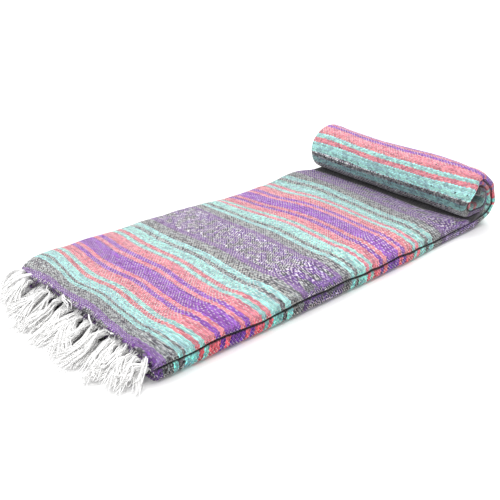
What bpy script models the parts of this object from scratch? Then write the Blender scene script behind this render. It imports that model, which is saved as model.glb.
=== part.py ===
"""Woven serape blanket, folded to a long strip, laid flat and half rolled up.

The blanket is folded in four across its width and then in half along its length, so the
strip is a pair of leaves, one on the other, with the knotted ends of both at one end.
Metres, +Z up, +X along the strip from the fringe to the roll, +Y across it.
The origin lies on the floor under the middle of the whole.
"""

import bisect
import math
import random

import bmesh
import bpy
from mathutils import Vector

CUT_WIDTH = 1.270                      # the woven cloth, selvedge to selvedge
STRIP_WIDTH = CUT_WIDTH / 4
SEAM_GAP = 0.0003                      # between two solids that meet
CURL_START = 0.598                     # along the strip, where it leaves the floor to roll
UPPER_END = 0.0                        # where the cloth of each leaf stops
LOWER_END = 0.005
MIDDLE_ALONG = 0.2980                  # from the upper leaf's end to the middle of the whole
MIDDLE_ACROSS = 0.1602                 # from the near side to the middle of the whole

# The flat stretch. along: distance from the cloth's end. parting: height between the leaves.
# near, middle and far: height of the top there. near_edge, far_edge: places of the folds.
FLAT_COLUMNS = ("along", "parting", "near", "middle", "far", "near_edge", "far_edge")
FLAT_ROWS = (
    (0.000, 0.0185, 0.0300, 0.0320, 0.0255, 0.0020, 0.2990),
    (0.012, 0.0205, 0.0360, 0.0370, 0.0310, 0.0010, 0.3060),
    (0.030, 0.0215, 0.0400, 0.0405, 0.0350, 0.0000, 0.3100),
    (0.080, 0.0205, 0.0410, 0.0415, 0.0355, 0.0000, 0.3110),
    (0.165, 0.0190, 0.0410, 0.0415, 0.0345, 0.0000, 0.3115),
    (0.265, 0.0185, 0.0405, 0.0410, 0.0335, 0.0005, 0.3110),
    (0.385, 0.0180, 0.0395, 0.0410, 0.0290, 0.0010, 0.3065),
    (0.455, 0.0175, 0.0375, 0.0385, 0.0310, 0.0030, 0.3080),
    (0.513, 0.0160, 0.0330, 0.0345, 0.0355, 0.0070, 0.3140),
    (0.553, 0.0155, 0.0265, 0.0268, 0.0275, 0.0080, 0.3180),
    (0.575, 0.0155, 0.0232, 0.0232, 0.0234, 0.0080, 0.3200),
    (0.598, 0.0155, 0.0226, 0.0226, 0.0226, 0.0080, 0.3205),
)

# The roll, as a chain of arcs of the line between the leaves, from the floor up the back,
# over the top, down the front and in again. turn: degrees. lower, upper: thickness of the
# outer and the inner leaf at the arc's end. slack: the gap between the two there.
ROLL_COLUMNS = ("length", "turn", "lower", "slack", "upper")
ROLL_ARCS = (
    (0.0200, 22, 0.0130, 0.0003, 0.0075),
    (0.0240, 18, 0.0105, 0.0003, 0.0080),
    (0.0190, 50, 0.0095, 0.0005, 0.0080),
    (0.0260, 45, 0.0095, 0.0018, 0.0080),
    (0.0300, 45, 0.0095, 0.0045, 0.0080),
    (0.0320, 50, 0.0095, 0.0045, 0.0080),
    (0.0165, 35, 0.0095, 0.0015, 0.0085),
    (0.0210, 65, 0.0110, 0.0003, 0.0105),
    (0.0100, 30, 0.0106, 0.0003, 0.0105),
    (0.0190, 10, 0.0091, 0.0003, 0.0100),
    (0.0190, 85, 0.0080, 0.0003, 0.0078),
    (0.0170, 85, 0.0058, 0.0003, 0.0058),
    (0.0090, 0, 0.0056, 0.0003, 0.0056),
)
WRAP_ARCS = 7                          # the rest of the arcs are the end tucked inside

# How the roll slumps: its middle sags, its far end stands up and out to the front, and its
# near end is drawn in.
SAG_MIDDLE = 0.0035
LIFT_FAR = 0.0040
BULGE_FAR = 0.0050
PINCH_NEAR = 0.0200
PINCH_REACH = 0.0500
SLUMP_FLOOR = 0.030                    # nothing moves below this height
ROLL_TOP = 0.093
ROLL_BACK = 0.6465                     # along the strip, the back of the roll
ROLL_DEPTH = 0.090

# Fold edges of the stretches in the roll: near and far side.
WRAP_EDGES = (0.0080, 0.3205)
INNER_WRAP_EDGES = (0.0110, 0.3180)
TUCK_EDGES = (0.0095, 0.3190)

# The layers at the cut ends stand out as lips: how far each lip and groove reaches out.
LIP_REACH = (0.0030, -0.0012, 0.0029, -0.0010, 0.0030, -0.0014, 0.0029)

# Rows of fringe. root and rail: (distance out from the cloth's end, height) along a strand.
# tassels and strands: how many, and how many to each. first: where the row's first one is.
FRINGE_ROWS = {
    "fringe_upper_top": {
        "tassels": 12, "strands": 6, "first": 0.0190, "far_drop": 0.0060,
        "root": (0.0000, 0.0275),
        "rail": ((0.008, 0.0250), (0.015, 0.0200), (0.026, 0.0152), (0.038, 0.0125),
                 (0.049, 0.0095), (0.059, 0.0032)),
    },
    "fringe_upper_under": {
        "tassels": 11, "strands": 4, "first": 0.0310, "far_drop": 0.0030,
        "root": (0.0000, 0.0215),
        "rail": ((0.007, 0.0180), (0.013, 0.0140), (0.024, 0.0104), (0.034, 0.0090),
                 (0.047, 0.0070)),
    },
    "fringe_lower_top": {
        "tassels": 12, "strands": 4, "first": 0.0160, "far_drop": 0.0010,
        "root": (-0.0050, 0.0152),
        "rail": ((0.004, 0.0118), (0.011, 0.0084), (0.022, 0.0060), (0.032, 0.0052),
                 (0.044, 0.0045)),
    },
    "fringe_lower_under": {
        "tassels": 11, "strands": 3, "first": 0.0280, "far_drop": 0.0,
        "root": (-0.0050, 0.0062),
        "rail": ((0.004, 0.0042), (0.011, 0.0026), (0.021, 0.0018), (0.031, 0.0016),
                 (0.041, 0.0015)),
    },
}
TASSEL_PITCH = 0.0242
BACKING_DEPTH = 0.0026
BACKING_HEIGHT = 0.0032
STEM_WIDTH = 0.0034
STEM_HEIGHT = 0.0026
STRAND_SIZE = 0.0019
STRAND_END = 0.6                       # width of a strand's tip over its root
FAN_WIDTH = 0.0200                     # across the tips of one tassel
FAN_START = 0.0105
NEAR_SHORT = 0.60                      # how much less far the tassels at each corner reach
FAR_SHORT = 1.15

SIDE_STEPS = 3                         # faces round a folded side
ACROSS_STEPS = 8                       # faces across between the folded sides
FLAT_STEPS = 18
WRAP_STEP = 0.0080                     # length of a face round the roll, and its turn
WRAP_TURN = 24

CLOTH_PURPLE = (0.300, 0.180, 0.520)
CLOTH_TEAL = (0.300, 0.650, 0.580)
CLOTH_CORAL = (0.800, 0.280, 0.300)
CLOTH_GREY = (0.250, 0.250, 0.260)
COTTON_WHITE = (0.850, 0.850, 0.840)


def read_table(rows, columns):
    """Rows of bare numbers as dictionaries by column name."""
    return [dict(zip(columns, row)) for row in rows]


FLAT = read_table(FLAT_ROWS, FLAT_COLUMNS)
ROLL = read_table(ROLL_ARCS, ROLL_COLUMNS)


def smooth_value(rows, key, column, place):
    """A column of a table at a place between its rows, on a smooth curve through them."""
    places = [row[key] for row in rows]
    place = min(max(place, places[0]), places[-1])
    index = min(bisect.bisect_right(places, place), len(rows) - 1) - 1
    first, second = rows[index], rows[index + 1]
    before, after = rows[max(index - 1, 0)], rows[min(index + 2, len(rows) - 1)]
    span = second[key] - first[key]
    part = (place - first[key]) / span
    slope_in = (second[column] - before[column]) / (second[key] - before[key]) * span
    slope_out = (after[column] - first[column]) / (after[key] - first[key]) * span
    square, cube = part * part, part * part * part
    return ((2 * cube - 3 * square + 1) * first[column] + (cube - 2 * square + part) * slope_in
            + (3 * square - 2 * cube) * second[column] + (cube - square) * slope_out)


def flat_value(column, along):
    return smooth_value(FLAT, "along", column, along)


def top_height(along, across):
    """Height of the flat stretch's top, near to far, as a curve through three heights."""
    near = flat_value("near", along)
    middle = flat_value("middle", along)
    far = flat_value("far", along)
    side = 2 * across / STRIP_WIDTH - 1
    return middle + side * (far - near) / 2 + side * side * ((far + near) / 2 - middle)


def roll_line():
    """Points along the line between the leaves round the roll, with the sizes there."""
    x, z, turned, run = CURL_START, flat_value("parting", CURL_START), 0.0, 0.0
    sizes = {"lower": z, "slack": SEAM_GAP,
             "upper": flat_value("middle", CURL_START) - z - SEAM_GAP}
    points = [dict(sizes, run=run, x=x, z=z, angle=0.0, arc=0)]
    for number, arc in enumerate(ROLL):
        steps = max(2, round(arc["length"] / WRAP_STEP), round(arc["turn"] / WRAP_TURN))
        for step in range(steps):
            middle = math.radians(turned + arc["turn"] * (step + 0.5) / steps)
            bend = math.radians(arc["turn"] / steps) / 2
            chord = arc["length"] / steps * (math.sin(bend) / bend if bend else 1.0)
            x += chord * math.cos(middle)
            z += chord * math.sin(middle)
            run += arc["length"] / steps
            share = (step + 1) / steps
            now = {name: sizes[name] + (arc[name] - sizes[name]) * share for name in sizes}
            angle = math.radians(turned + arc["turn"] * share)
            points.append(dict(now, run=run, x=x, z=z, angle=angle, arc=number))
        turned += arc["turn"]
        sizes = {name: arc[name] for name in sizes}
    return points


def slump(point):
    """The roll as it settles: sagging in the middle and drawn in at its near end."""
    rise = max(0.0, (point.z - SLUMP_FLOOR) / (ROLL_TOP - SLUMP_FLOOR))
    side = 2 * point.y / STRIP_WIDTH - 1
    lift = -SAG_MIDDLE * (1 - side * side) + LIFT_FAR * max(0.0, side) ** 2
    depth = min(1.0, max(0.0, (ROLL_BACK - point.x) / ROLL_DEPTH))
    pinch = PINCH_NEAR * math.exp(-(point.y / PINCH_REACH) ** 2)
    shift = (pinch - BULGE_FAR * max(0.0, side) ** 2) * depth * min(1.0, rise * 1.4)
    return Vector((point.x + shift, point.y, point.z + lift * rise))


def side_steps(near, far, half):
    """Places across a leaf with its fullness: folded round at both sides, full between."""
    turn = math.pi / 2 / SIDE_STEPS
    places = [(near + half * (1 - math.cos(step * turn)), math.sin(step * turn))
              for step in range(SIDE_STEPS + 1)]
    inner_near, inner_far = near + half, far - half
    for step in range(1, ACROSS_STEPS):
        places.append((inner_near + (inner_far - inner_near) * step / ACROSS_STEPS, 1.0))
    places += [(far - half * (1 - math.cos(step * turn)), math.sin(step * turn))
               for step in reversed(range(SIDE_STEPS + 1))]
    return places


def add_solid(name, colour, loops):
    """A closed solid from loops that run round it, side by side; the outer two are edges."""
    mesh = bpy.data.meshes.new(name)
    work = bmesh.new()
    rings = [[work.verts.new(point) for point in loop] for loop in loops]
    for first, second in zip(rings, rings[1:]):
        count = len(first)
        for index in range(count):
            follow = (index + 1) % count
            work.faces.new((first[index], first[follow], second[follow], second[index]))
    bmesh.ops.remove_doubles(work, verts=work.verts[:], dist=0.000002)
    bmesh.ops.recalc_face_normals(work, faces=work.faces[:])
    work.to_mesh(mesh)
    work.free()
    return add_object(name, mesh, colour, 0.9)


def add_object(name, mesh, colour, roughness):
    material = bpy.data.materials.new(name)
    material.use_nodes = True
    shader = material.node_tree.nodes["Principled BSDF"]
    shader.inputs["Base Color"].default_value = (*colour, 1.0)
    shader.inputs["Roughness"].default_value = roughness
    shader.inputs["Metallic"].default_value = 0.0
    mesh.materials.append(material)
    mesh.shade_smooth()
    mesh.set_sharp_from_angle(angle=math.radians(50))
    thing = bpy.data.objects.new(name, mesh)
    thing.location = (-MIDDLE_ALONG, -MIDDLE_ACROSS, 0.0)
    bpy.context.scene.collection.objects.link(thing)
    return thing


def flat_places(end):
    """Distances along the flat stretch, closer together where the end droops."""
    close = [end, end + 0.010, end + 0.022, end + 0.040]
    rest = FLAT_STEPS - len(close)
    step = (CURL_START - SEAM_GAP / 2 - close[-1]) / (rest + 1)
    return close + [close[-1] + step * (number + 1) for number in range(rest + 1)]


def flat_leaf(name, colour, end, lower):
    """One leaf of the flat stretch: the lower one stands on the floor, the other on it."""
    columns = []
    for along in flat_places(end):
        near, far = flat_value("near_edge", along), flat_value("far_edge", along)
        parting = flat_value("parting", along)
        half = parting / 2 if lower else (flat_value("middle", along) - parting) / 2
        column = []
        for across, fullness in side_steps(near, far, half):
            low = 0.0 if lower else parting + SEAM_GAP / 2
            high = parting - SEAM_GAP / 2 if lower else top_height(along, across)
            middle = (low + high) / 2
            rise = (high - low) / 2 * fullness
            column.append((Vector((along, across, middle - rise)),
                           Vector((along, across, middle + rise)), fullness))
        columns.append(column)
    loops = []
    lips = len(LIP_REACH) + 1
    for place in range(len(columns[0])):
        run = [column[place] for column in columns]
        loop = [high for low, high, fullness in run] + [low for low, high, fullness in reversed(run)]
        low, high, fullness = run[0]
        for number, reach in enumerate(LIP_REACH, start=1):
            point = low.lerp(high, number / lips)
            loop.append(point - Vector((reach * fullness, 0.0, 0.0)))
        loops.append(loop)
    return add_solid(name, colour, loops)


def wrap_leaf(name, colour, outer):
    """One leaf of the roll's outer turn."""
    points = [point for point in roll_line() if point["arc"] < WRAP_ARCS]
    near, far = WRAP_EDGES if outer else INNER_WRAP_EDGES
    columns = []
    for number, point in enumerate(points):
        inward = Vector((-math.sin(point["angle"]), 0.0, math.cos(point["angle"])))
        onward = Vector((math.cos(point["angle"]), 0.0, math.sin(point["angle"])))
        centre = Vector((point["x"], 0.0, point["z"]))
        if number == 0:
            centre += onward * SEAM_GAP / 2
        if number == len(points) - 1:
            centre -= onward * SEAM_GAP / 2
        if outer:
            low, high = -point["lower"], -SEAM_GAP / 2
        else:
            low = point["slack"] - SEAM_GAP / 2
            high = low + point["upper"]
        middle, half = (low + high) / 2, (high - low) / 2
        column = []
        for across, fullness in side_steps(near, far, half):
            place = centre + Vector((0.0, across, 0.0))
            column.append((slump(place + inward * (middle - half * fullness)),
                           slump(place + inward * (middle + half * fullness))))
        columns.append(column)
    return add_solid(name, colour, run_round(columns))


def run_round(columns):
    """Loops round a stretch of cloth: out along one face and back along the other."""
    loops = []
    for place in range(len(columns[0])):
        run = [column[place] for column in columns]
        loops.append([high for low, high in run] + [low for low, high in reversed(run)])
    return loops


def tucked_end(name, colour):
    """The strip's last stretch, tucked inside the roll, with the blanket's own fold at its end."""
    line = roll_line()
    start = max(number for number, point in enumerate(line) if point["arc"] < WRAP_ARCS)
    points = line[start:]
    near, far = TUCK_EDGES
    stages = [(point, 0.0) for point in points]
    stages += [(points[-1], math.radians(turn)) for turn in (30, 60, 90)]
    columns = []
    for number, (point, turn) in enumerate(stages):
        inward = Vector((-math.sin(point["angle"]), 0.0, math.cos(point["angle"])))
        onward = Vector((math.cos(point["angle"]), 0.0, math.sin(point["angle"])))
        half = (point["lower"] + point["upper"] + point["slack"]) / 2
        middle = half - point["lower"]
        reach = SEAM_GAP / 2 if number == 0 else half * math.sin(turn)
        centre = Vector((point["x"], 0.0, point["z"])) + onward * reach
        column = []
        for across, fullness in side_steps(near, far, half):
            place = centre + Vector((0.0, across, 0.0))
            rise = half * fullness * math.cos(turn)
            column.append((slump(place + inward * (middle - rise)),
                           slump(place + inward * (middle + rise))))
        columns.append(column)
    return add_solid(name, colour, run_round(columns))


def place_corners(face, centre, wide, tall):
    """Move a quad's corners to a rectangle about a centre, each to the corner it was at."""
    middle = face.calc_center_median()
    order = [(corner.co.y > middle.y, corner.co.z > middle.z) for corner in face.verts]
    for corner, (is_far, is_high) in zip(face.verts, order):
        corner.co = centre + (wide if is_far else -wide) / 2 + (tall if is_high else -tall) / 2


def draw_out(work, face, centre, width, height, slope):
    """Pull a face out along a strand to its next section."""
    moved = bmesh.ops.extrude_discrete_faces(work, faces=[face])["faces"][0]
    wide = Vector((0.0, width, 0.0))
    tall = Vector((-slope.z, 0.0, slope.x)) * -height
    place_corners(moved, centre, wide, tall)
    return moved


def split_across(work, face, count):
    """Divide a quad into a row of quads along Y and return them in order."""
    flat_edges = [edge for edge in face.edges
                  if abs(edge.verts[0].co.y - edge.verts[1].co.y) > 0.0005]
    cut = bmesh.ops.bisect_edges(work, edges=flat_edges, cuts=count - 1)
    made = sorted((item for item in cut["geom_split"] if isinstance(item, bmesh.types.BMVert)),
                  key=lambda corner: round(corner.co.y, 5))
    pairs = [made[index:index + 2] for index in range(0, len(made), 2)]
    pieces = {face}
    for pair in pairs:
        for piece in list(pieces):
            if pair[0] in piece.verts and pair[1] in piece.verts:
                other, loop = bmesh.utils.face_split(piece, pair[0], pair[1])
                pieces.add(other)
                break
    return sorted(pieces, key=lambda piece: piece.calc_center_median().y)


def fringe(name, colour, row):
    """A row of knotted tassels on a narrow backing that lies along the cloth's end."""
    chance = random.Random(name)
    root_out, root_height = row["root"]
    front = -(root_out + max(LIP_REACH) + SEAM_GAP + BACKING_DEPTH)
    middles = [row["first"] + number * TASSEL_PITCH + chance.uniform(-0.002, 0.002)
               for number in range(row["tassels"])]
    cuts = [middles[0] - STEM_WIDTH]
    for middle in middles:
        cuts += [middle - STEM_WIDTH / 2, middle + STEM_WIDTH / 2]
    cuts.append(middles[-1] + STEM_WIDTH)

    def droop(across):
        side = max(0.0, across / STRIP_WIDTH - 0.5) * 2
        return row["far_drop"] * side * side

    work = bmesh.new()
    rings = []
    for across in cuts:
        middle = root_height - droop(across)
        corners = ((front, BACKING_HEIGHT / 2), (front, -BACKING_HEIGHT / 2),
                   (front + BACKING_DEPTH, -BACKING_HEIGHT / 2),
                   (front + BACKING_DEPTH, BACKING_HEIGHT / 2))
        rings.append([work.verts.new((x, across, middle + z)) for x, z in corners])
    fronts = []
    for first, second in zip(rings, rings[1:]):
        for index in range(4):
            follow = (index + 1) % 4
            face = work.faces.new((first[index], second[index], second[follow], first[follow]))
            if index == 0:
                fronts.append(face)
    work.faces.new(rings[0])
    work.faces.new(list(reversed(rings[-1])))
    bmesh.ops.recalc_face_normals(work, faces=work.faces[:])

    for face, middle in zip(fronts[1::2], middles):
        drop = droop(middle)
        low = root_height
        places = [Vector((-out, middle, height - drop * (height / low) ** 2))
                  for out, height in row["rail"]]
        slopes = [(after - before).normalized() for before, after
                  in zip([face.calc_center_median()] + places[:-1], places)]
        for place, slope in zip(places[:2], slopes[:2]):
            face = draw_out(work, face, place, STEM_WIDTH, STEM_HEIGHT, slope)
        count = row["strands"]
        drift = chance.uniform(-0.003, 0.001)
        side = 2 * middle / STRIP_WIDTH - 1
        reach = 1 - (FAR_SHORT if side > 0 else NEAR_SHORT) * side ** 4
        for number, root in enumerate(split_across(work, face, count)):
            spread = (number + 0.5) / count - 0.5
            tip = chance.uniform(0.90, 1.0) * reach
            start = places[1]
            strand = root
            for step, (place, slope) in enumerate(zip(places[2:], slopes[2:])):
                share = (step + 1) / len(places[2:])
                width = FAN_START + (FAN_WIDTH - FAN_START) * share
                out = start.lerp(place, tip)
                centre = Vector((out.x, middle + spread * width + drift * share, out.z))
                size = STRAND_SIZE * (1 - (1 - STRAND_END) * share)
                strand = draw_out(work, strand, centre, size, size, slope)
    mesh = bpy.data.meshes.new(name)
    work.to_mesh(mesh)
    work.free()
    return add_object(name, mesh, colour, 0.95)


def build():
    for thing in list(bpy.data.objects):
        bpy.data.objects.remove(thing, do_unlink=True)
    flat_leaf("lower_leaf_flat", CLOTH_TEAL, LOWER_END, lower=True)
    flat_leaf("upper_leaf_flat", CLOTH_PURPLE, UPPER_END, lower=False)
    wrap_leaf("lower_leaf_roll", CLOTH_CORAL, outer=True)
    wrap_leaf("upper_leaf_roll", CLOTH_GREY, outer=False)
    tucked_end("tucked_end", CLOTH_PURPLE)
    for name, row in FRINGE_ROWS.items():
        fringe(name, COTTON_WHITE, row)


build()
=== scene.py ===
import bisect
import math
import random

import bmesh
import bpy
from mathutils import Matrix, Vector, noise


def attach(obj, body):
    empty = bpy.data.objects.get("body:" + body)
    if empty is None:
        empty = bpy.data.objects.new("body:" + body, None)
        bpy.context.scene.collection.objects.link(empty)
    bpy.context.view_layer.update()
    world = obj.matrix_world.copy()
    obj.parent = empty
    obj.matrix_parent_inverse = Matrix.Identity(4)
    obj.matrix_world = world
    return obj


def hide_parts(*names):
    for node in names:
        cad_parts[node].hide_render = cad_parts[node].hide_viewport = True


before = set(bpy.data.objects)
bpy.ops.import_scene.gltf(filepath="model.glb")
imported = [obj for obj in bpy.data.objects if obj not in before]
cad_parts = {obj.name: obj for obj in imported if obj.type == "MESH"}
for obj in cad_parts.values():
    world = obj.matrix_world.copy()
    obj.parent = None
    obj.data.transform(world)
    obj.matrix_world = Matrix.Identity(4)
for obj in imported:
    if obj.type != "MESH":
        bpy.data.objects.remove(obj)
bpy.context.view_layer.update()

# the strip as it lies: distances along it start at the upper leaf's cloth end
strip = {
    "cutWidth": 1.270,       # selvedge to selvedge
    "curlStart": 0.598,      # where it leaves the floor to roll
    "middleAlong": 0.2980,   # from the upper leaf's end to the middle of the whole
    "middleAcross": 0.1602,
    "gap": 0.0003,           # between two leaves that touch
}
stripWidth = strip["cutWidth"] / 4
leafEnds = {"upperLeaf": 0.0, "lowerLeaf": 0.005}    # where their cloth ends at the fringe

# the flat stretch: parting is the height between the leaves, near to far the height of the top
flatColumns = ("along", "parting", "near", "middle", "far", "nearEdge", "farEdge")
flatRows = (
    (0.000, 0.0185, 0.0300, 0.0320, 0.0255, 0.0020, 0.2990),
    (0.012, 0.0205, 0.0360, 0.0370, 0.0310, 0.0010, 0.3060),
    (0.030, 0.0215, 0.0400, 0.0405, 0.0350, 0.0000, 0.3100),
    (0.080, 0.0205, 0.0410, 0.0415, 0.0355, 0.0000, 0.3110),
    (0.165, 0.0190, 0.0410, 0.0415, 0.0345, 0.0000, 0.3115),
    (0.265, 0.0185, 0.0405, 0.0410, 0.0335, 0.0005, 0.3110),
    (0.385, 0.0180, 0.0395, 0.0410, 0.0290, 0.0010, 0.3065),
    (0.455, 0.0175, 0.0375, 0.0385, 0.0310, 0.0030, 0.3080),
    (0.513, 0.0160, 0.0330, 0.0345, 0.0355, 0.0070, 0.3140),
    (0.553, 0.0155, 0.0265, 0.0268, 0.0275, 0.0080, 0.3180),
    (0.575, 0.0155, 0.0232, 0.0232, 0.0234, 0.0080, 0.3200),
    (0.598, 0.0155, 0.0226, 0.0226, 0.0226, 0.0080, 0.3205),
)

# the roll: a chain of arcs of the line between the leaves, up the back, over and in again
arcColumns = ("length", "turn", "lower", "slack", "upper")
arcRows = (
    (0.0200, 22, 0.0130, 0.0003, 0.0075),
    (0.0240, 18, 0.0105, 0.0003, 0.0080),
    (0.0190, 50, 0.0095, 0.0005, 0.0080),
    (0.0260, 45, 0.0095, 0.0018, 0.0080),
    (0.0300, 45, 0.0095, 0.0045, 0.0080),
    (0.0320, 50, 0.0095, 0.0045, 0.0080),
    (0.0165, 35, 0.0095, 0.0015, 0.0085),
    (0.0210, 65, 0.0110, 0.0003, 0.0105),
    (0.0100, 30, 0.0106, 0.0003, 0.0105),
    (0.0190, 10, 0.0091, 0.0003, 0.0100),
    (0.0190, 85, 0.0080, 0.0003, 0.0078),
    (0.0170, 85, 0.0058, 0.0003, 0.0058),
    (0.0090, 0, 0.0056, 0.0003, 0.0056),
)
outerArcs = 7                # the other arcs are the end tucked inside

# near and far fold of each piece in the roll
rollEdges = {"lowerLeaf": (0.0080, 0.3205), "upperLeaf": (0.0110, 0.3180), "tuckedEnd": (0.0095, 0.3190)}

flat = [dict(zip(flatColumns, row)) for row in flatRows]
arcs = [dict(zip(arcColumns, row)) for row in arcRows]


def curveBetween(first, slopeIn, second, slopeOut, part):
    # a smooth curve from the first value to the second, at a share of its way
    square, cube = part ** 2, part ** 3
    return ((2 * cube - 3 * square + 1) * first + (cube - 2 * square + part) * slopeIn
            + (3 * square - 2 * cube) * second + (cube - square) * slopeOut)


def smoothValue(rows, key, column, place):
    # a column between its rows, on a smooth curve through them
    places = [row[key] for row in rows]
    place = min(max(place, places[0]), places[-1])
    index = min(bisect.bisect_right(places, place), len(rows) - 1) - 1
    first, second = rows[index], rows[index + 1]
    before, after = rows[max(index - 1, 0)], rows[min(index + 2, len(rows) - 1)]
    span = second[key] - first[key]
    slopeIn = (second[column] - before[column]) / (second[key] - before[key]) * span
    slopeOut = (after[column] - first[column]) / (after[key] - first[key]) * span
    return curveBetween(first[column], slopeIn, second[column], slopeOut, (place - first[key]) / span)


def linearValue(rows, place):
    # the second number of a row at a place between the first ones
    index = min(max(bisect.bisect_right([row[0] for row in rows], place), 1), len(rows) - 1)
    (startAt, start), (endAt, end) = rows[index - 1], rows[index]
    return start + (end - start) * (place - startAt) / (endAt - startAt)


def flatValue(column, along):
    return smoothValue(flat, "along", column, along)


def topHeight(along, across):
    # the height of the top, curved across the strip
    near, middle, far = (flatValue(name, along) for name in ("near", "middle", "far"))
    side = 2 * across / stripWidth - 1
    return middle + side * (far - near) / 2 + side * side * ((far + near) / 2 - middle)


def smoothStep(value):
    value = min(max(value, 0.0), 1.0)
    return value * value * (3 - 2 * value)


def bell(place, reach):
    # 1 at place 0, and about a third of that at the reach
    return math.exp(-(place / reach) ** 2)


# how the roll slumps: the reaches are distances from the near side
slumpSizes = {
    "floor": 0.030, "top": 0.093,    # it starts at the one height and is full at the other
    "back": 0.6465, "depth": 0.090,  # its back stays, and what lies this far before it shifts fully
    "sag": 0.0035,           # in the middle
    "crown": 0.0058, "crownSide": -0.30, "crownReach": 0.44,    # a fuller place, in half widths
    "liftFar": 0.0040, "bulgeFar": 0.0050,                      # the far end goes up and out
    "pinchNear": 0.0200, "pinchReach": 0.0500,                  # the near end is drawn in
    "drop": 0.0040, "dropReach": 0.030,                         # and lower
    "settle": 0.0100, "settleReach": 0.045, "settleFrom": 0.600, "settleOver": 0.045,    # at its back
    "lumps": 0.0044, "lumpReach": 0.045, "lumpSize": (0.027, 0.030, 0.027),    # and lumpy
    "lumpStart": 0.025,      # how far above the floor height the lumps are full
    "lumpSeed": 1,           # which lumps they are
}
noise.seed_set(slumpSizes["lumpSeed"])


def slump(point):
    # where a point of the even roll goes; no two points change their order, so layers stay apart
    sizes = slumpSizes
    above = point.z - sizes["floor"]
    rise = max(0.0, above / (sizes["top"] - sizes["floor"]))
    side = 2 * point.y / stripWidth - 1
    lift = -sizes["sag"] * (1 - side * side) + sizes["liftFar"] * max(0.0, side) ** 2
    lift += sizes["crown"] * bell(side - sizes["crownSide"], sizes["crownReach"])
    lift -= sizes["drop"] * bell(point.y, sizes["dropReach"])
    settle = sizes["settle"] * bell(point.y, sizes["settleReach"]) * smoothStep(point.z / sizes["floor"])
    settle *= smoothStep((point.x - sizes["settleFrom"]) / sizes["settleOver"])
    depth = min(1.0, max(0.0, (sizes["back"] - point.x) / sizes["depth"]))
    pinch = sizes["pinchNear"] * bell(point.y, sizes["pinchReach"])
    shift = (pinch - sizes["bulgeFar"] * max(0.0, side) ** 2) * depth * min(1.0, rise * 1.4)
    grain = noise.noise_vector(Vector([part / size for part, size in zip(point, sizes["lumpSize"])]))
    lumpy = sizes["lumps"] * bell(point.y, sizes["lumpReach"]) * smoothStep(above / sizes["lumpStart"])
    return point + Vector((shift, 0.0, lift * rise - settle)) + grain * lumpy


# path along the cloth against place on the stripe chart, whose bands mirror every 0.1495 m
upperChart = (
    (-0.020, -0.130), (0.0045, -0.115), (0.0120, -0.105), (0.0244, -0.086), (0.0307, -0.072),
    (0.0431, -0.056), (0.0865, -0.013), (0.1124, 0.013), (0.1423, 0.042), (0.1753, 0.072),
    (0.2235, 0.115), (0.2816, 0.184), (0.3160, 0.224), (0.3420, 0.2465), (0.3689, 0.2745),
    (0.3985, 0.299), (0.4395, 0.341), (0.4690, 0.371), (0.5237, 0.414), (0.6150, 0.483),
    (0.7300, 0.598), (1.0000, 0.868),
)
lowerChart = tuple((path + 0.006, chart) for path, chart in upperChart[:19]) + (
    (0.6055, 0.483), (0.7495, 0.619), (0.7795, 0.6435), (0.7917, 0.654), (0.8080, 0.670), (0.8235, 0.684),
    (0.8450, 0.703), (0.9515, 0.800), (1.0065, 0.855),
)

# how far the stripes stray along the strip at places across it, for places along it
waveAcross = (0.0, 0.05, 0.10, 0.15, 0.20, 0.24, 0.28, 0.33)
waveRows = (
    (0.005, (-0.0040, -0.0020, 0.0, 0.0025, -0.0020, 0.0020, -0.0040, -0.0100)),
    (0.045, (0.0010, -0.0030, 0.0, 0.0035, -0.0025, 0.0030, 0.0100, 0.0080)),
    (0.099, (0.0010, -0.0010, 0.0, 0.0030, -0.0005, -0.0010, 0.0045, 0.0070)),
    (0.155, (0.0000, -0.0015, 0.0, 0.0050, 0.0020, 0.0015, 0.0060, 0.0070)),
    (0.218, (-0.0010, -0.0015, 0.0, 0.0025, 0.0000, -0.0015, -0.0005, 0.0010)),
    (0.284, (-0.0040, -0.0030, 0.0, 0.0025, 0.0000, -0.0010, 0.0035, 0.0050)),
    (0.316, (-0.0035, -0.0030, 0.0, 0.0040, -0.0010, 0.0000, 0.0015, 0.0020)),
    (0.398, (-0.0075, -0.0035, 0.0, 0.0030, -0.0025, -0.0100, -0.0085, -0.0080)),
    (0.460, (-0.0010, -0.0015, 0.0, 0.0045, 0.0060, 0.0020, 0.0020, 0.0020)),
    (0.484, (0.0000, -0.0015, 0.0, 0.0035, 0.0100, 0.0120, 0.0060, 0.0040)),
    (0.520, (0.0005, -0.0015, 0.0, 0.0060, 0.0100, 0.0075, 0.0060, 0.0040)),
    (0.640, (0.0000, 0.0000, 0.0, 0.0000, 0.0000, 0.0000, 0.0000, 0.0000)),
    (0.755, (0.0040, 0.0030, 0.0050, 0.0055, 0.0015, 0.0020, -0.0008, 0.0030)),
    (0.800, (0.0045, 0.0040, 0.0050, 0.0042, 0.0030, 0.0005, 0.0014, 0.0045)),
    (0.840, (0.0020, 0.0040, 0.0035, 0.0045, 0.0008, 0.0020, 0.0004, 0.0020)),
)
waveTable = [dict(zip(("along",) + waveAcross, (row[0],) + row[1])) for row in waveRows]

# how far they slide along the strip, going round the near fold, at the parting between the leaves
slideTables = {
    "upperLeaf": (
        (0.0, 0.008), (0.040, 0.014), (0.085, 0.0145), (0.130, 0.016), (0.160, 0.0185), (0.190, 0.017),
        (0.300, 0.014), (0.420, 0.011), (0.560, 0.004), (0.640, 0.0)),
    "lowerLeaf": (
        (0.0, -0.004), (0.033, -0.001), (0.045, 0.007), (0.060, 0.012), (0.110, 0.0155), (0.145, 0.0165),
        (0.190, 0.013), (0.240, 0.0105), (0.330, 0.009), (0.450, 0.006), (0.560, 0.002), (0.640, 0.0)),
}
slideReach = 0.060           # along the cut, from the parting to where they no longer slide


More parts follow.
